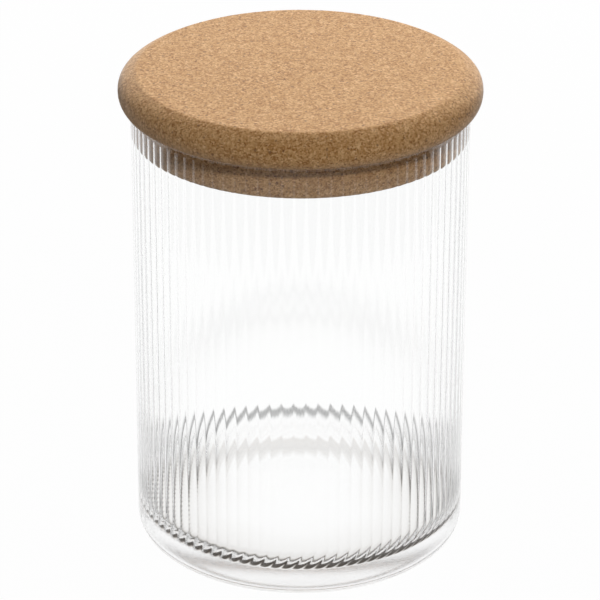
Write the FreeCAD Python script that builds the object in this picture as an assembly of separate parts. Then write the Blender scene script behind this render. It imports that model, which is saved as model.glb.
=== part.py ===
"""Fluted glass storage jar with a two-layer cork lid, in millimetres.

The origin is the centre of the foot, on the plane that the jar stands on, and +Z is up.
The glass is smooth outside and has upright flutes inside, which run round the inner heel
and fade out on the floor. The lid is a thick cork cap with a cork plug glued under it.
"""

import FreeCAD, Part
import math
import os

# Glass: overall size and walls
GLASS_RADIUS = 50.0        # outside of the wall
GLASS_HEIGHT = 140.0       # foot plane to the top of the rim
WALL = 2.0                 # glass behind the bottom of a flute
FLOOR = 7.0                # foot plane to the lowest point of a flute
HEEL_OUTER = 5.6           # round between the foot and the outside wall
HEEL_INNER = 8.5           # round of a flute between the wall and the floor
FOOT_RING = 6.6            # width of the flat ring that the jar stands on
DISH_DEPTH = 0.8           # hollow of the foot at its centre
RIM_ROUND = 0.7            # fire-polished round on both edges of the rim
RIM_BAND = 2.7             # smooth glass between the rim and the tops of the flutes

# Glass: flutes
FLUTE_COUNT = 88
FLUTE_DEPTH = 0.15         # from the crest of a ridge to the bottom of a flute
RIDGE_WIDTH = 0.55         # crest that is left between two flutes

# Cork cap, which rests on the rim
CAP_OVERHANG = 3.5         # how far the cap stands out past the glass
CAP_LOWER = 4.4            # underside to the widest line
CAP_UPPER = 5.9            # widest line to the top face
CAP_EDGE = 5.4             # widest line to the edge of the top face, seen from above
CAP_SLOPE = 24.0           # degrees that the side falls away at the edge of the top face
CAP_FULLNESS = 1.4         # how close the upper side stays to its corner

# Cork plug, which sits inside the mouth
PLUG_DEPTH = 10.0
PLUG_CLEARANCE = 0.3       # between the plug and the crests of the ridges
PLUG_ROUND = 0.8           # round of the plug's lower edge

# Places that follow from the sizes
VALLEY_RADIUS = GLASS_RADIUS - WALL
CREST_RADIUS = VALLEY_RADIUS - FLUTE_DEPTH
CREST_FLOOR = FLOOR + FLUTE_DEPTH
HEEL_CENTRE_R = VALLEY_RADIUS - HEEL_INNER
HEEL_CENTRE_Z = FLOOR + HEEL_INNER
CAP_RADIUS = GLASS_RADIUS + CAP_OVERHANG
CAP_TOP = GLASS_HEIGHT + CAP_LOWER + CAP_UPPER

HALF_ROOT = math.sqrt(0.5)
ABOVE_RIM = 10.0           # how far the shape of the open inside reaches past the rim
UP = FreeCAD.Vector(0, 0, 1)
ORIGIN = FreeCAD.Vector(0, 0, 0)


def at(radius, height):
    """A point of a profile, which lies in the XZ plane."""
    return FreeCAD.Vector(radius, 0, height)


def line(start, end):
    return Part.LineSegment(start, end).toShape()


def quarter_arc(start, corner, end):
    """A quarter of a circle that is tangent to its two lines to the corner."""
    centre = start + end - corner
    middle = centre + (corner - centre) * HALF_ROOT
    return Part.Arc(start, middle, end).toShape()


def side_curve(start, corner, end, fullness):
    """A curve that is tangent to its two lines to the corner, and nearer to it if fuller."""
    curve = Part.BezierCurve()
    curve.setPoles([start, corner, end])
    curve.setWeight(2, fullness)
    return curve.toShape()


def turned(edges, angle=360):
    """The solid that a closed profile sweeps as it turns about the Z axis from the XZ plane."""
    profile = Part.Face(Part.Wire(edges))
    return profile.revolve(ORIGIN, UP, angle)


def glass_blank():
    """The jar's outside, solid within, with both rounds of the rim."""
    foot_outer = GLASS_RADIUS - HEEL_OUTER
    dish_edge = at(foot_outer - FOOT_RING, 0)
    dish_middle = at(dish_edge.x / 2, DISH_DEPTH)
    dish_top = at(0, DISH_DEPTH)
    heel_low = at(foot_outer, 0)
    heel_high = at(GLASS_RADIUS, HEEL_OUTER)
    rim_low = GLASS_HEIGHT - RIM_ROUND
    outer_low = at(GLASS_RADIUS, rim_low)
    outer_high = at(GLASS_RADIUS - RIM_ROUND, GLASS_HEIGHT)
    inner_high = at(CREST_RADIUS + RIM_ROUND, GLASS_HEIGHT)
    inner_low = at(CREST_RADIUS, rim_low)
    mouth_centre = at(0, rim_low)
    return turned([
        side_curve(dish_top, dish_middle, dish_edge, 1.0),
        line(dish_edge, heel_low),
        quarter_arc(heel_low, at(GLASS_RADIUS, 0), heel_high),
        line(heel_high, outer_low),
        quarter_arc(outer_low, at(GLASS_RADIUS, GLASS_HEIGHT), outer_high),
        line(outer_high, inner_high),
        quarter_arc(inner_high, at(CREST_RADIUS, GLASS_HEIGHT), inner_low),
        line(inner_low, mouth_centre),
        line(mouth_centre, dish_top),
    ])


def flute_section():
    """Cross-section of one flute on the +X side, level with the top of the inner heel."""
    pitch = 2 * math.pi * CREST_RADIUS / FLUTE_COUNT
    half_angle = (pitch - RIDGE_WIDTH) / 2 / CREST_RADIUS
    edge_x = CREST_RADIUS * math.cos(half_angle)
    edge_y = CREST_RADIUS * math.sin(half_angle)
    # The flute is an arc through its lowest line and through the edges of both ridges.
    centre_x = (VALLEY_RADIUS ** 2 - CREST_RADIUS ** 2) / (2 * (VALLEY_RADIUS - edge_x))
    arc_radius = VALLEY_RADIUS - centre_x
    # The arc runs on a little past those edges, into the open jar.
    reach_y = edge_y + 0.4 * RIDGE_WIDTH
    reach_x = centre_x + math.sqrt(arc_radius ** 2 - reach_y ** 2)
    left = FreeCAD.Vector(reach_x, -reach_y, HEEL_CENTRE_Z)
    lowest = FreeCAD.Vector(VALLEY_RADIUS, 0, HEEL_CENTRE_Z)
    right = FreeCAD.Vector(reach_x, reach_y, HEEL_CENTRE_Z)
    arc = Part.Arc(left, lowest, right).toShape()
    return Part.Face(Part.Wire([arc, line(right, left)]))


def flute():
    """One flute as a solid: straight up the wall, and round the inner heel until it leaves the floor."""
    section = flute_section()
    upright = section.extrude(UP * (GLASS_HEIGHT - RIM_BAND - HEEL_CENTRE_Z))
    run_out = math.degrees(math.acos(1 - 2 * FLUTE_DEPTH / HEEL_INNER))
    heel_axis = FreeCAD.Vector(0, 1, 0)
    heel = section.revolve(at(HEEL_CENTRE_R, HEEL_CENTRE_Z), heel_axis, 90 + run_out)
    return upright.fuse(heel)


def slice_of(edges):
    """A profile turned through one pitch of the flutes, centred on the XZ plane."""
    pitch_angle = 360 / FLUTE_COUNT
    solid = turned(edges, pitch_angle)
    solid.rotate(ORIGIN, UP, -pitch_angle / 2)
    return solid


def inside_slice():
    """One pitch of the open inside: a flute with half a ridge on each side of it."""
    top = GLASS_HEIGHT + ABOVE_RIM
    floor_centre = at(0, CREST_FLOOR)
    heel_low = at(HEEL_CENTRE_R, CREST_FLOOR)
    heel_high = at(CREST_RADIUS, HEEL_CENTRE_Z)
    within_crests = slice_of([
        line(floor_centre, heel_low),
        quarter_arc(heel_low, at(CREST_RADIUS, CREST_FLOOR), heel_high),
        line(heel_high, at(CREST_RADIUS, top)),
        line(at(CREST_RADIUS, top), at(0, top)),
        line(at(0, top), floor_centre),
    ])
    whole_pitch = slice_of([
        line(at(0, 0), at(GLASS_RADIUS, 0)),
        line(at(GLASS_RADIUS, 0), at(GLASS_RADIUS, top)),
        line(at(GLASS_RADIUS, top), at(0, top)),
        line(at(0, top), at(0, 0)),
    ])
    return within_crests.fuse(flute().common(whole_pitch))


def is_upright_plane(face):
    """True for the two flat sides along which a slice meets its neighbours."""
    if not isinstance(face.Surface, Part.Plane):
        return False
    return abs(face.Surface.Axis.z) < HALF_ROOT


def fluted_inside():
    """The open inside of the jar: the skin of one slice, repeated all round and sewn together."""
    skin = [face for face in inside_slice().Faces if not is_upright_plane(face)]
    faces = []
    for index in range(FLUTE_COUNT):
        # A flute, not a ridge, faces the front.
        angle = 360 * index / FLUTE_COUNT - 90
        for face in skin:
            faces.append(face.rotated(ORIGIN, UP, angle))
    sewn = Part.Compound(faces)
    sewn.sewShape()
    return Part.Solid(sewn.Shells[0]).removeSplitter()


def glass_jar():
    return glass_blank().cut(fluted_inside())


def cork_cap():
    """The upper disc of the lid, with a soft side and a crisp edge round its flat top."""
    underside = at(0, GLASS_HEIGHT)
    seat_edge = at(GLASS_RADIUS, GLASS_HEIGHT)
    widest = at(CAP_RADIUS, GLASS_HEIGHT + CAP_LOWER)
    top_edge = at(CAP_RADIUS - CAP_EDGE, CAP_TOP)
    shoulder = at(CAP_RADIUS, CAP_TOP - CAP_EDGE * math.tan(math.radians(CAP_SLOPE)))
    top_centre = at(0, CAP_TOP)
    return turned([
        line(underside, seat_edge),
        side_curve(seat_edge, at(CAP_RADIUS, GLASS_HEIGHT), widest, HALF_ROOT),
        side_curve(widest, shoulder, top_edge, CAP_FULLNESS),
        line(top_edge, top_centre),
        line(top_centre, underside),
    ])


def cork_plug():
    """The lower disc of the lid, glued to the underside of the cap."""
    radius = CREST_RADIUS - PLUG_CLEARANCE
    bottom = GLASS_HEIGHT - PLUG_DEPTH
    round_low = at(radius - PLUG_ROUND, bottom)
    round_high = at(radius, bottom + PLUG_ROUND)
    return turned([
        line(at(0, bottom), round_low),
        quarter_arc(round_low, at(radius, bottom), round_high),
        line(round_high, at(radius, GLASS_HEIGHT)),
        line(at(radius, GLASS_HEIGHT), at(0, GLASS_HEIGHT)),
        line(at(0, GLASS_HEIGHT), at(0, bottom)),
    ])


NODES = {
    "glass_jar": glass_jar,
    "cork_cap": cork_cap,
    "cork_plug": cork_plug,
}

os.makedirs("parts", exist_ok=True)
for name, make in NODES.items():
    shape = make()
    shape.exportStep("parts/" + name + ".step")
    box = shape.BoundBox
    print(name, "solids", len(shape.Solids), "faces", len(shape.Faces), "valid", shape.isValid(),
          "volume", round(shape.Volume, 1), "height", round(box.ZMin, 3), round(box.ZMax, 3))
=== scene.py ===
import math

import bpy
import numpy as np
from mathutils import Matrix, Vector, noise


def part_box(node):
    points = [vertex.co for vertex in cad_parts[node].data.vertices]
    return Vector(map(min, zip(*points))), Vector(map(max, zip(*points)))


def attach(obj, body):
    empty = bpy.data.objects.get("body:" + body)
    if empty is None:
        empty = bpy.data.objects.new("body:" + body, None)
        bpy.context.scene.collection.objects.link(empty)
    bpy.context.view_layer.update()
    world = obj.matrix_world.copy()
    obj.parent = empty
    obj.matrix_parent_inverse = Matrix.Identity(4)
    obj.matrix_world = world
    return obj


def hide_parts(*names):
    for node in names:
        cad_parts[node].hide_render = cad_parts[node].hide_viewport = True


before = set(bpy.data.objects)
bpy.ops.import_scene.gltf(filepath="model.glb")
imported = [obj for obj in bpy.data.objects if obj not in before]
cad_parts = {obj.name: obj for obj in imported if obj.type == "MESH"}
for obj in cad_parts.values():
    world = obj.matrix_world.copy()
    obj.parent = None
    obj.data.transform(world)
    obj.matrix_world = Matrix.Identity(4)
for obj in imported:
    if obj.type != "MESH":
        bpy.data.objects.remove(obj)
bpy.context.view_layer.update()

MM = 0.001

# Sizes of the glass that the frame's boxes don't give, in metres
WALL = 2.0 * MM
JAR_FLOOR = 7.0 * MM  # thickness of the jar's floor
JAR_FLOOR_ROWS = (0.9, 0.5, 0.1)  # rows of the floor's mesh within the flutes, in shares of its radius
HEEL_OUTER = 5.6 * MM  # radius of the heel outside
HEEL_INNER = 8.5 * MM  # radius of the heel inside
FOOT_RING = 6.6 * MM  # width of the flat ring under the foot
DISH_DEPTH = 0.8 * MM  # of the shallow dish within the ring
DISH_ROWS = (0.1, 0.4, 0.7, 0.9, 1.0)  # rows of the dish's mesh, in shares of its radius
ROUGH_HEIGHT = 0.85 * MM  # how far up from the foot's plane the pressed glass reaches
RIM_ROUND = 0.7 * MM
RIM_BAND = 2.7 * MM  # height of the smooth band at the rim
EDGE_ROW = 0.5 * MM  # how far an extra row of the mesh lies from the end of a straight stretch

# Flutes inside the glass
FLUTE_COUNT = 88
FLUTE_DEPTH = 0.15 * MM
FLUTE_EDGE = 0.8  # share of the way from a flute's middle to the ridge where the ridge begins
FLUTE_COLUMNS = (0.0, 0.3, 0.55, 0.75, 0.85, 0.92, 1.0)  # columns of the mesh, in shares of that way
FLUTE_START = (  # stops of height above the full flute, in mm, and of the depth there, as a share
    (0.8, 0.0), (0.6, 0.15), (0.4, 0.5), (0.2, 0.85), (0.0, 1.0),
)
FLUTE_RUN_OUT = 2.0 * MM  # how far the flutes run onto the jar's floor
RUN_OUT_ROWS = 5  # rows of the mesh there
HEEL_ROWS = 20  # rows of the mesh round the heel inside
HEEL_FLUTE_DEPTH = 0.45 * MM  # depth of the flutes halfway round the heel
FLUTE_LEAN = -1.8  # pitches that the flutes lean sideways on their way round the heel

# Sizes of the cork, in metres and degrees
CAP_OVERHANG = 3.5 * MM
CAP_LOWER = 4.4 * MM  # height of the rounded lower edge
CAP_EDGE = 5.4 * MM  # width of the soft slope round the top
CAP_SLOPE = 24.0  # of the soft slope where it meets the top
CAP_FULLNESS = 1.4  # of the soft slope
ROUND_FULLNESS = math.sqrt(0.5)  # of a quarter of an ellipse
PLUG_ROUND = 0.8 * MM
CORK_MIDDLE = 0.5 * MM  # radius of the smallest ring of the mesh
CORK_COLUMNS = 640  # columns of the mesh all round
CORK_RELIEF = 0.03 * MM  # how far the granules stand out or in
GRANULE = 1.2 * MM
FINE_GRANULE = 0.45  # size of the finer granules, as a share
FINE_RELIEF = 0.6  # their relief, as a share

# Look of the glass
GLASS_TINT = (0.995, 0.997, 0.996, 1)
GLASS_IOR = 1.5
GLASS_PASSES = (0.96, 0.96, 0.96, 1)  # light that goes through to the cork and the floor
FOOT_ROUGHNESS = 0.11  # of the pressed glass under the foot

# Look of the cork, with scales in cells to the metre
CORK_ROUGHNESS = 0.7
CORK_SPECULAR = 0.1
CORK_SHEEN = 0.28
CORK_SHEEN_ROUGHNESS = 0.5
GRANULE_TINTS = (
    (0.0, (0.26, 0.105, 0.026)),
    (0.22, (0.43, 0.208, 0.066)),
    (0.5, (0.55, 0.30, 0.118)),
    (0.8, (0.67, 0.40, 0.18)),
    (1.0, (0.83, 0.535, 0.285)),
)
SMALL_GRANULES = 2300
LARGE_GRANULES = 1150
LARGE_SHARE = 0.3  # share of the large granules in the colour
BEND_SCALE = 900
BEND_DETAIL = 2
BEND_SIZE = 0.6 * MM  # how far the outlines of the granules are bent
SPECK_SCALE = 500
SPECK_SIZE = 0.24  # radius of the largest specks, as a share of a cell
SPECK_DARKNESS = 0.6
SPECK_COLOUR = (0.16, 0.075, 0.035, 1)
BUMP_STRENGTH = 0.3
BUMP_DEPTH = 0.1 * MM

# Light
WHITE = (1, 1, 1, 1)
BACK_LEVEL = 1.0  # the white studio behind the jar
FRONT_LEVEL = 0.06  # the dark room in front of it
ROOM_TURN = (-0.45, 0.25)  # where the room turns into the studio, from -1 in front to 1 behind
STUDIO_LIGHT = 0.3  # share of the studio that lights the cork and the floor
LAMP_TARGET = (0, 0, 0.1)
SOFTBOX_PLACE = (0.12, 1.0, 0.68)
SOFTBOX_SIZE = 0.6
SOFTBOX_POWER = 19
FILL_PLACE = (0.2, -0.85, 0.9)
FILL_SIZE = 0.15
FILL_POWER = 4.6
NO_REFLECTION = 0.5  # a path of light with fewer reflections has none
NEAR_PASSES = 2.5  # a path that passes less glass has met only the near wall
MAX_BOUNCES = 28
GLOSSY_BOUNCES = 18
TRANSPARENT_BOUNCES = 24

# Floor, with a white sheet on it
FLOOR_HALF = 4.0  # half the floor's side
FLOOR_GAP = 0.05 * MM  # air under the foot
FLOOR_COLOUR = (0.4, 0.4, 0.4, 1)
FLOOR_GLOW = 0.98  # share of plain white in the floor where the camera looks at it
SHEET_END = (0.352, 0.385)  # distance over which the sheet ends in front of the jar
SHEET_SCALE = (1.06, 1.0, 0.0)  # it ends a little sooner beside the jar
SHEET_BEHIND = (-0.02, 0.08)  # from here backwards it has no end

# Painted light and shade of the floor near the jar as the glass shows it, in stops of distance and level
FLOOR_REACH = 0.1  # the stops' distances from the axis are shares of this
PAINTED_FLOOR_FRONT = (
    (0.0, 1.0), (0.15, 0.98), (0.22, 0.93), (0.30, 0.87), (0.35, 0.8), (0.375, 0.66),
    (0.395, 0.35), (0.415, 0.05), (0.49, 0.04), (0.51, 0.5), (0.53, 1.0),
)
PAINTED_FLOOR_BEHIND = (
    (0.0, 1.0), (0.34, 1.0), (0.37, 0.84), (0.375, 0.8), (0.39, 0.85), (0.47, 0.82), (0.49, 1.0),
)
PAINTED_FLOOR_SHADE = (  # the painted ring of shade round the jar, whose levels are of darkness
    (0.53, 0.0), (0.56, 0.6), (0.59, 0.97), (0.68, 0.97), (0.72, 0.5), (0.76, 0.0),
)
SIDE_SHIFT = 0.05  # how much further out the front's levels lie beside the jar
SHADE_NARROWING = 0.353  # distances in the painted ring of shade are stretched by this share behind the jar
SHADE_SHIFT = 0.295  # and lessened by this, so that the narrower ring stays in its place
# painted streaks of light round the ring of shade, three to a flute
PAINTED_STREAK_COUNT = 3 * FLUTE_COUNT
PAINTED_STREAK_LIGHT = 0.8  # share of the painted shade that a painted streak of light takes away
WARMTH = (1.0, 1.08, 1.17)  # powers of a painted grey level in red, green and blue

# Directions from the jar's axis, from -1 in front to 1 behind, between which one look turns into another
SIDE_TURN = (-0.9, -0.1)  # from the front's levels to those beside the jar
FLOOR_TURN = (0.3, 0.95)  # from the front's levels to those behind
STREAK_TURN = (0.6, 0.95)  # from a wide, plain ring of painted shade to a narrow one with painted streaks of light

# Camera, from the outline of the jar in the photograph
CAMERA_PLACE = (0.0, -0.8883, 0.5050)
CAMERA_DOWN = 25.82
CAMERA_ROLL = 0.15
CAMERA_LENS = 196.1
CAMERA_CLIP = (0.01, 20)
SENSOR = 36.0

# Places that follow from the frame and the sizes
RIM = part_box("glass_jar")[1].z
CAP_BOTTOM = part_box("cork_cap")[0].z
CAP_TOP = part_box("cork_cap")[1].z
PLUG_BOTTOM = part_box("cork_plug")[0].z
GLASS_RADIUS = round(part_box("glass_jar")[1].x, 4)
PLUG_RADIUS = round(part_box("cork_plug")[1].x, 5)
CAP_RADIUS = GLASS_RADIUS + CAP_OVERHANG
VALLEY_RADIUS = GLASS_RADIUS - WALL
CREST_RADIUS = VALLEY_RADIUS - FLUTE_DEPTH
CREST_FLOOR = JAR_FLOOR + FLUTE_DEPTH


# Shapes

def arc(centre, radius, start, end, count):
    """Points of an arc in a profile, from one angle to another in degrees."""
    angles = np.radians(np.linspace(start, end, count))
    return [(centre[0] + radius * math.cos(a), centre[1] + radius * math.sin(a)) for a in angles]


def conic(start, corner, end, fullness, count):
    """Points of a curve that is tangent to its two lines to the corner, and nearer to it if fuller."""
    points = []
    for t in np.linspace(0, 1, count):
        weights = np.array([(1 - t) ** 2, 2 * fullness * t * (1 - t), t ** 2])
        weights /= weights.sum()
        points.append(tuple(weights @ np.array([start, corner, end])))
    return points


def straight(start, end, count):
    """Points of a straight stretch, without its first one."""
    shares = np.linspace(0, 1, count + 1)[1:]
    return [tuple(np.array(start) + (np.array(end) - np.array(start)) * share) for share in shares]


def mesh_object(name, points, faces):
    """A smoothly shaded mesh in the scene."""
    mesh = bpy.data.meshes.new(name)
    mesh.from_pydata(points, [], faces)
    mesh.shade_smooth()
    thing = bpy.data.objects.new(name, mesh)
    bpy.context.scene.collection.objects.link(thing)
    return thing


def skin(name, rings):
    """A closed mesh through rings of points, in the shape (ring, point, 3), with a fan on both ends."""
    count, around = rings.shape[:2]
    points = rings.reshape(-1, 3).tolist()
    faces = []
    for row in range(count - 1):
        low = row * around
        high = low + around
        for column in range(around):
            after = (column + 1) % around
            faces.append((low + column, low + after, high + after, high + column))
    for row, turn in ((0, -1), (count - 1, 1)):
        pole = len(points)
        points.append(rings[row].mean(axis=0).tolist())
        for column in range(around):
            after = (column + 1) % around
            faces.append((row * around + column, row * around + after, pole)[::turn])
    return mesh_object(name, points, faces)


def dress(piece, body, node, material):
    """Gives a piece its material and its body, and hides the node that it stands in for."""
    piece.data.materials.append(material)
    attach(piece, body)
    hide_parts(node)


# Nodes of materials

def new_material(name):
    """A new material and its node tree."""
    material = bpy.data.materials.new(name)
    material.use_nodes = True
    return material, material.node_tree


def set_inputs(tree, node, inputs):
    """Sets a node's inputs, by name or by number, to plain values or to sockets of other nodes."""
    for key, value in inputs.items():
        if isinstance(value, bpy.types.NodeSocket):
            tree.links.new(value, node.inputs[key])
        else:
            node.inputs[key].default_value = value


def add_node(tree, kind, inputs, **settings):
    """A new node with its settings and its inputs."""
    node = tree.nodes.new(kind)
    for name, value in settings.items():
        setattr(node, name, value)
    set_inputs(tree, node, inputs)
    return node


def calculate(tree, operation, *values):
    """The result of a sum on numbers and sockets."""
    return add_node(tree, "ShaderNodeMath", dict(enumerate(values)), operation=operation).outputs["Value"]


def smooth_step(tree, value, ends, levels=(0.0, 1.0)):
    """The first level below the first end, the second above the second, and a soft rise between them."""
    inputs = {
        "Value": value,
        "From Min": ends[0],
        "From Max": ends[1],
        "To Min": levels[0],
        "To Max": levels[1],
    }
    return add_node(tree, "ShaderNodeMapRange", inputs, interpolation_type="SMOOTHSTEP").outputs["Result"]


def ramp(tree, value, stops):
    """A colour that follows a value, from stops of (value, colour)."""
    node = add_node(tree, "ShaderNodeValToRGB", {"Fac": value})
    elements = node.color_ramp.elements
    while len(elements) < len(stops):
        elements.new(0.5)
    for element, (position, colour) in zip(elements, stops):
        element.position = position
        element.color = (*colour, 1)
    return node.outputs["Color"]


def warm_greys(stops):
    """Stops of (value, painted grey level) as stops of (value, colour), warmer the darker they are."""
    return [(value, tuple(level ** power for power in WARMTH)) for value, level in stops]


def mix_colours(tree, share, first, second):
    """The first colour, with a share of the second."""
    inputs = {"Factor": share, "A": first, "B": second}
    return add_node(tree, "ShaderNodeMix", inputs, data_type="RGBA").outputs["Result"]


def mix_shaders(tree, share, first, second):
    """The first shader, with a share of the second."""
    return add_node(tree, "ShaderNodeMixShader", {0: share, 1: first, 2: second}).outputs["Shader"]


def emission(tree, inputs):
    """A surface that shines by itself, plain white unless its inputs say otherwise."""
    return add_node(tree, "ShaderNodeEmission", inputs).outputs["Emission"]


def vector_length(tree, vector):
    """The length of a vector."""
    return add_node(tree, "ShaderNodeVectorMath", {0: vector}, operation="LENGTH").outputs["Value"]


def backward_part(tree, vector):
    """How far a vector leads backward, along +Y."""
    return add_node(tree, "ShaderNodeSeparateXYZ", {"Vector": vector}).outputs["Y"]


def place_on_floor(tree):
    """Where a point of the floor lies, from the centre of the foot."""
    return tree.nodes.new("ShaderNodeNewGeometry").outputs["Position"]


def light_path(tree):
    """What is known of the path of light that meets a surface."""
    return tree.nodes.new("ShaderNodeLightPath").outputs


# Materials

def glass_material(name, roughness):
    """Clear, colourless glass. Light on its way to the cork or the floor passes straight through it."""
    material, tree = new_material(name)
    shader = tree.nodes["Principled BSDF"]
    set_inputs(tree, shader, {
        "Base Color": GLASS_TINT,
        "Transmission Weight": 1.0,
        "Roughness": roughness,
        "IOR": GLASS_IOR,
    })
    path = light_path(tree)
    lighting = calculate(tree, "MAXIMUM", path["Is Shadow Ray"], path["Is Diffuse Ray"])
    clear = add_node(tree, "ShaderNodeBsdfTransparent", {"Color": GLASS_PASSES})
    surface = mix_shaders(tree, lighting, shader.outputs["BSDF"], clear.outputs["BSDF"])
    set_inputs(tree, tree.nodes["Material Output"], {"Surface": surface})
    return material


def bent_place(tree):
    """Places in the cork, bent so that the outlines of its granules are uneven."""
    place = tree.nodes.new("ShaderNodeTexCoord").outputs["Object"]
    waves = {"Scale": BEND_SCALE, "Detail": BEND_DETAIL, "Vector": place}
    bend = add_node(tree, "ShaderNodeTexNoise", waves).outputs["Color"]
    inputs = {0: bend, 1: (BEND_SIZE, BEND_SIZE, BEND_SIZE), 2: place}
    return add_node(tree, "ShaderNodeVectorMath", inputs, operation="MULTIPLY_ADD").outputs["Vector"]


def cells(tree, place, scale):
    """Uneven cells, so many to the metre."""
    return add_node(tree, "ShaderNodeTexVoronoi", {"Scale": scale, "Vector": place}).outputs


def cell_number(tree, cell):
    """A number from 0 to 1 that differs from cell to cell."""
    return add_node(tree, "ShaderNodeSeparateColor", {"Color": cell["Color"]}).outputs["Red"]


def cork_material():
    """Fine cork granules pressed together, with pale and dark ones and dark specks."""
    material, tree = new_material("pressed_cork")
    place = bent_place(tree)
    small = cells(tree, place, SMALL_GRANULES)
    large = cells(tree, place, LARGE_GRANULES)
    fine = ramp(tree, cell_number(tree, small), GRANULE_TINTS)
    coarse = ramp(tree, cell_number(tree, large), GRANULE_TINTS)
    colour = mix_colours(tree, LARGE_SHARE, fine, coarse)

    specks = cells(tree, place, SPECK_SCALE)
    radius = calculate(tree, "MULTIPLY", cell_number(tree, specks), SPECK_SIZE)
    dark = calculate(tree, "LESS_THAN", specks["Distance"], radius)
    dark = calculate(tree, "MULTIPLY", dark, SPECK_DARKNESS)
    colour = mix_colours(tree, dark, colour, SPECK_COLOUR)

    relief = {"Strength": BUMP_STRENGTH, "Distance": BUMP_DEPTH, "Height": small["Distance"]}
    set_inputs(tree, tree.nodes["Principled BSDF"], {
        "Base Color": colour,
        "Roughness": CORK_ROUGHNESS,
        "Specular IOR Level": CORK_SPECULAR,
        "Sheen Weight": CORK_SHEEN,
        "Sheen Roughness": CORK_SHEEN_ROUGHNESS,
        "Normal": add_node(tree, "ShaderNodeBump", relief).outputs["Normal"],
    })
    return material


def past_near_wall(tree, path):
    """0 where the near wall of the glass reflects the dark room in front of it, and 1 elsewhere."""
    unreflected = calculate(tree, "LESS_THAN", path["Glossy Depth"], NO_REFLECTION)
    deeper = calculate(tree, "GREATER_THAN", path["Transmission Depth"], NEAR_PASSES)
    return calculate(tree, "MAXIMUM", unreflected, deeper)


def painted_floor_light(tree, share, backward):
    """The painted light and shade on the floor under the jar: dim under the foot, dark in the narrow gap
    under the front of the heel, and only a little dim under its back."""
    beside = smooth_step(tree, backward, SIDE_TURN)
    front_share = calculate(tree, "MULTIPLY_ADD", beside, -SIDE_SHIFT, share)
    front = ramp(tree, front_share, warm_greys(PAINTED_FLOOR_FRONT))
    behind = ramp(tree, share, warm_greys(PAINTED_FLOOR_BEHIND))
    return mix_colours(tree, smooth_step(tree, backward, FLOOR_TURN), front, behind)


def painted_floor_shade(tree, place, share, backward):
    """The darkness of the painted ring of shade round the jar. Behind the jar it has painted streaks of the
    light that the flutes bend.
    """
    behind = smooth_step(tree, backward, STREAK_TURN)
    turn = add_node(tree, "ShaderNodeTexGradient", {"Vector": place}, gradient_type="RADIAL").outputs["Fac"]
    wave = calculate(tree, "SINE", calculate(tree, "MULTIPLY", turn, 2 * math.pi * PAINTED_STREAK_COUNT))
    light = calculate(tree, "MULTIPLY", calculate(tree, "MULTIPLY_ADD", wave, 0.5, 0.5), behind)
    dark = calculate(tree, "MULTIPLY_ADD", light, -PAINTED_STREAK_LIGHT, 1.0)
    narrowing = calculate(tree, "MULTIPLY_ADD", behind, SHADE_NARROWING, 1.0)
    ring = calculate(tree, "MULTIPLY", share, narrowing)
    ring = calculate(tree, "MULTIPLY_ADD", behind, -SHADE_SHIFT, ring)
    return calculate(tree, "MULTIPLY", dark, ramp(tree, ring, warm_greys(PAINTED_FLOOR_SHADE)))


def painted_floor_through_glass(tree, sheet_share):
    """The floor as the glass shows it: a sheet that glows with painted light, with the jar's shade painted
    on it.
    """
    place = place_on_floor(tree)
    distance = vector_length(tree, place)
    share = calculate(tree, "DIVIDE", distance, FLOOR_REACH)
    backward = calculate(tree, "DIVIDE", backward_part(tree, place), distance)
    level = painted_floor_light(tree, share, backward)
    lit = calculate(tree, "SUBTRACT", 1.0, painted_floor_shade(tree, place, share, backward))
    return emission(tree, {"Color": level, "Strength": calculate(tree, "MULTIPLY", lit, sheet_share)})


def white_sheet(tree):
    """1 on the white sheet that the jar stands on, and 0 past its end in front of the jar and beside it."""
    place = place_on_floor(tree)
    scaled = add_node(tree, "ShaderNodeVectorMath", {0: place, 1: SHEET_SCALE}, operation="MULTIPLY")
    distance = vector_length(tree, scaled.outputs["Vector"])
    near = calculate(tree, "SUBTRACT", 1.0, smooth_step(tree, distance, SHEET_END))
    behind = smooth_step(tree, backward_part(tree, place), SHEET_BEHIND)
    return calculate(tree, "MAXIMUM", near, behind)


def floor_material():
    """A pale floor that looks white and keeps the jar's shadow. Seen through the glass it glows with
    painted light and painted shade instead.
    """
    material, tree = new_material("studio_floor")
    path = light_path(tree)
    plain = tree.nodes["Principled BSDF"]
    set_inputs(tree, plain, {"Base Color": FLOOR_COLOUR, "Roughness": 1.0, "Specular IOR Level": 0.0})
    surface = plain.outputs["BSDF"]
    sheet_share = white_sheet(tree)
    through_share = calculate(tree, "MAXIMUM", sheet_share, past_near_wall(tree, path))
    looks = (
        ("Is Camera Ray", FLOOR_GLOW, emission(tree, {})),
        ("Is Glossy Ray", 1.0, emission(tree, {"Strength": sheet_share})),
        ("Is Transmission Ray", 1.0, painted_floor_through_glass(tree, through_share)),
    )
    for ray, amount, look in looks:
        surface = mix_shaders(tree, calculate(tree, "MULTIPLY", path[ray], amount), surface, look)
    set_inputs(tree, tree.nodes["Material Output"], {"Surface": surface})
    return material


# Glass

def flute_shape(share):
    """How deep a flute is, from 1 along its middle to 0 along the ridge, at a share of the way across.

    The flute is a shallow arc, and the ridge between two flutes is rounded the other way."""
    if share <= FLUTE_EDGE:
        return 1 - share ** 2 / FLUTE_EDGE
    return (1 - share) ** 2 / (1 - FLUTE_EDGE)


def flute_columns():
    """Angles of the mesh's columns all round, and how deep the flute is at each."""
    shares = [-share for share in FLUTE_COLUMNS[:0:-1]] + list(FLUTE_COLUMNS[:-1])
    half_pitch = math.pi / FLUTE_COUNT
    angles = []
    depths = []
    for index in range(FLUTE_COUNT):
        # A flute, not a ridge, faces the front.
        middle = 2 * half_pitch * index - math.pi / 2
        for share in shares:
            angles.append(middle + share * half_pitch)
            depths.append(flute_shape(abs(share)))
    return np.array(angles), np.array(depths)


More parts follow.
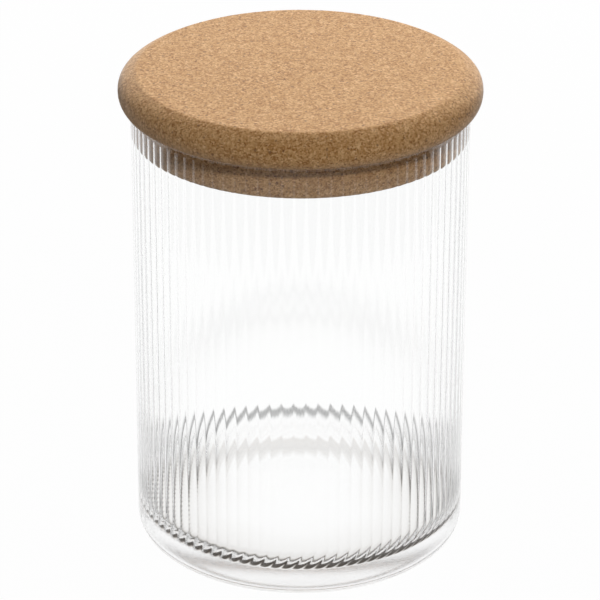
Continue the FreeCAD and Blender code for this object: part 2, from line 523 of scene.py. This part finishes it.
def smooth_rows():
    """Rows of the glass without flutes, from the dish round to the rim: radius and height."""
    foot_outer = GLASS_RADIUS - HEEL_OUTER
    dish_edge = foot_outer - FOOT_RING
    rows = [(dish_edge * share, DISH_DEPTH * (1 - share * share)) for share in DISH_ROWS]
    rows += [(dish_edge + EDGE_ROW, 0), (foot_outer - EDGE_ROW, 0)]
    rows += arc((foot_outer, HEEL_OUTER), HEEL_OUTER, -90, 0, count=14)
    rows += [(GLASS_RADIUS, HEEL_OUTER + EDGE_ROW), (GLASS_RADIUS, RIM - RIM_ROUND - EDGE_ROW)]
    rows += arc((GLASS_RADIUS - RIM_ROUND, RIM - RIM_ROUND), RIM_ROUND, 0, 90, count=7)
    rows += arc((CREST_RADIUS + RIM_ROUND, RIM - RIM_ROUND), RIM_ROUND, 90, 180, count=7)
    return rows


def glass_rows():
    """Rows of the glass, from the foot round to the floor: radius, height, how far out and up a flute
    of full depth moves the surface there, and how far the row is turned, in pitches."""
    heel_r = VALLEY_RADIUS - HEEL_INNER
    heel_z = JAR_FLOOR + HEEL_INNER
    rows = [(radius, height, 0, 0, 0) for radius, height in smooth_rows()]
    # The flutes start softly, and are full where the smooth band of the rim ends.
    for rise, share in FLUTE_START:
        rows.append((CREST_RADIUS, RIM - RIM_BAND + rise * MM, share * FLUTE_DEPTH, 0, 0))
    rows.append((CREST_RADIUS, heel_z + EDGE_ROW, FLUTE_DEPTH, 0, 0))
    # Round the heel they get deeper and lean.
    for share in np.linspace(0, 1, HEEL_ROWS):
        out = math.cos(share * math.pi / 2)
        down = math.sin(share * math.pi / 2)
        depth = FLUTE_DEPTH + (HEEL_FLUTE_DEPTH - FLUTE_DEPTH) * math.sin(share * math.pi) ** 2
        radius = HEEL_INNER - depth
        lean = FLUTE_LEAN * share
        rows.append((heel_r + radius * out, heel_z - radius * down, out * depth, -down * depth, lean))
    # On the floor they fade out.
    for step in np.linspace(0, 1, RUN_OUT_ROWS + 1)[1:]:
        share = 0.5 + 0.5 * math.cos(math.pi * step)
        rows.append((heel_r - step * FLUTE_RUN_OUT, CREST_FLOOR, 0, -share * FLUTE_DEPTH, FLUTE_LEAN))
    for share in JAR_FLOOR_ROWS:
        rows.append((share * (heel_r - FLUTE_RUN_OUT), CREST_FLOOR, 0, 0, FLUTE_LEAN))
    return np.array(rows)


def glass_jar():
    """The jar, with finely rough glass under its foot."""
    angles, depths = flute_columns()
    rows = glass_rows()
    radius, height, out, up, lean = rows.T[:, :, None]
    angles = angles + lean * 2 * math.pi / FLUTE_COUNT
    radius = radius + out * depths
    height = height + up * depths
    rings = np.stack([radius * np.cos(angles), radius * np.sin(angles), height], axis=-1)
    piece = skin("fluted_glass", rings)
    dress(piece, "jar", "glass_jar", glass_material("clear_glass", 0.0))
    piece.data.materials.append(glass_material("pressed_glass", FOOT_ROUGHNESS))
    for face in piece.data.polygons:
        face.material_index = int(face.center.z < ROUGH_HEIGHT)


# Cork

def granular(point):
    """How far the cork stands out at a point, between about -1 and 1."""
    coarse = noise.noise(Vector(point) / GRANULE)
    fine = noise.noise(Vector(point) / (GRANULE * FINE_GRANULE))
    return coarse + FINE_RELIEF * fine


def cork_rings(profile):
    """Rings of a turned cork shape, roughened by its granules."""
    profile = np.array(profile)
    along = np.gradient(profile, axis=0)
    along /= np.linalg.norm(along, axis=1, keepdims=True)
    outward = np.stack([along[:, 1], -along[:, 0]], axis=1)
    angles = np.linspace(0, 2 * math.pi, CORK_COLUMNS, endpoint=False)
    rings = np.empty((len(profile), CORK_COLUMNS, 3))
    for row, (radius, height) in enumerate(profile):
        for column, angle in enumerate(angles):
            x = radius * math.cos(angle)
            y = radius * math.sin(angle)
            push = CORK_RELIEF * granular((x, y, height))
            out = radius + push * outward[row, 0]
            up = height + push * outward[row, 1]
            rings[row, column] = (out * math.cos(angle), out * math.sin(angle), up)
    return rings


def cork_cap(material):
    """The upper disc of the lid, from the middle of its underside round to the middle of its top."""
    start = (CORK_MIDDLE, CAP_BOTTOM)
    seat = (GLASS_RADIUS, CAP_BOTTOM)
    widest = (CAP_RADIUS, CAP_BOTTOM + CAP_LOWER)
    edge = (CAP_RADIUS - CAP_EDGE, CAP_TOP)
    shoulder = (CAP_RADIUS, CAP_TOP - CAP_EDGE * math.tan(math.radians(CAP_SLOPE)))
    profile = [start] + straight(start, seat, count=10)[:-1]
    profile += conic(seat, (CAP_RADIUS, CAP_BOTTOM), widest, ROUND_FULLNESS, count=14)
    profile += conic(widest, shoulder, edge, CAP_FULLNESS, count=22)[1:]
    profile += straight(edge, (CORK_MIDDLE, CAP_TOP), count=60)
    dress(skin("pressed_cork_cap", cork_rings(profile)), "lid", "cork_cap", material)


def cork_plug(material):
    """The lower disc of the lid, from the middle of its underside round to the middle of its top."""
    start = (CORK_MIDDLE, PLUG_BOTTOM)
    low = (PLUG_RADIUS - PLUG_ROUND, PLUG_BOTTOM)
    side = (PLUG_RADIUS, PLUG_BOTTOM + PLUG_ROUND)
    high = (PLUG_RADIUS, CAP_BOTTOM)
    profile = [start] + straight(start, low, count=50)[:-1]
    profile += arc((low[0], side[1]), PLUG_ROUND, -90, 0, count=6)
    profile += straight(side, high, count=14)
    profile += straight(high, (CORK_MIDDLE, CAP_BOTTOM), count=4)
    dress(skin("pressed_cork_plug", cork_rings(profile)), "lid", "cork_plug", material)


# Studio

def floor():
    """The floor, a hair below the foot."""
    signs = ((-1, -1), (1, -1), (1, 1), (-1, 1))
    corners = [(x * FLOOR_HALF, y * FLOOR_HALF, -FLOOR_GAP) for x, y in signs]
    thing = mesh_object("studio_floor", corners, [(0, 1, 2, 3)])
    thing.data.materials.append(floor_material())


def background(tree, strength):
    """A white surrounding of some strength."""
    inputs = {"Color": WHITE, "Strength": strength}
    return add_node(tree, "ShaderNodeBackground", inputs).outputs["Background"]


def studio_light():
    """A white studio behind the jar and a dark room in front of it, with white for the camera itself."""
    world = bpy.data.worlds.new("studio")
    bpy.context.scene.world = world
    world.use_nodes = True
    tree = world.node_tree
    backward = backward_part(tree, tree.nodes.new("ShaderNodeTexCoord").outputs["Generated"])
    level = smooth_step(tree, backward, ROOM_TURN, (FRONT_LEVEL, BACK_LEVEL))
    path = light_path(tree)
    by_glass = calculate(tree, "MAXIMUM", path["Is Glossy Ray"], path["Is Transmission Ray"])
    glass_level = calculate(tree, "MAXIMUM", level, past_near_wall(tree, path))
    surface = background(tree, calculate(tree, "MULTIPLY", level, STUDIO_LIGHT))
    for ray, strength in ((by_glass, glass_level), (path["Is Camera Ray"], 1.0)):
        surface = mix_shaders(tree, ray, surface, background(tree, strength))
    set_inputs(tree, tree.nodes["World Output"], {"Surface": surface})


def softbox(name, place, size, power):
    """A round lamp with a soft light, aimed at the jar."""
    light = bpy.data.lights.new(name, "AREA")
    light.shape = "DISK"
    light.size = size
    light.energy = power
    thing = bpy.data.objects.new(name, light)
    thing.location = place
    thing.rotation_euler = (Vector(LAMP_TARGET) - Vector(place)).to_track_quat("-Z", "Y").to_euler()
    # The glass shows the white studio, not the lamps.
    thing.visible_glossy = False
    thing.visible_transmission = False
    bpy.context.scene.collection.objects.link(thing)


def camera():
    """The camera at the photograph's viewing angle."""
    lens = bpy.data.cameras.new("camera")
    lens.lens = CAMERA_LENS
    lens.sensor_width = SENSOR
    lens.clip_start, lens.clip_end = CAMERA_CLIP
    thing = bpy.data.objects.new("camera", lens)
    tilt = Matrix.Rotation(math.radians(90 - CAMERA_DOWN), 4, "X")
    roll = Matrix.Rotation(math.radians(CAMERA_ROLL), 4, "Z")
    thing.location = CAMERA_PLACE
    thing.rotation_euler = (tilt @ roll).to_euler()
    bpy.context.scene.collection.objects.link(thing)
    bpy.context.scene.camera = thing


glass_jar()
cork = cork_material()
cork_cap(cork)
cork_plug(cork)
floor()
studio_light()
softbox("softbox", SOFTBOX_PLACE, SOFTBOX_SIZE, SOFTBOX_POWER)
softbox("fill", FILL_PLACE, FILL_SIZE, FILL_POWER)
camera()

scene = bpy.context.scene
scene.view_settings.view_transform = "Standard"
scene.cycles.max_bounces = MAX_BOUNCES
scene.cycles.transmission_bounces = MAX_BOUNCES
scene.cycles.glossy_bounces = GLOSSY_BOUNCES
scene.cycles.transparent_max_bounces = TRANSPARENT_BOUNCES
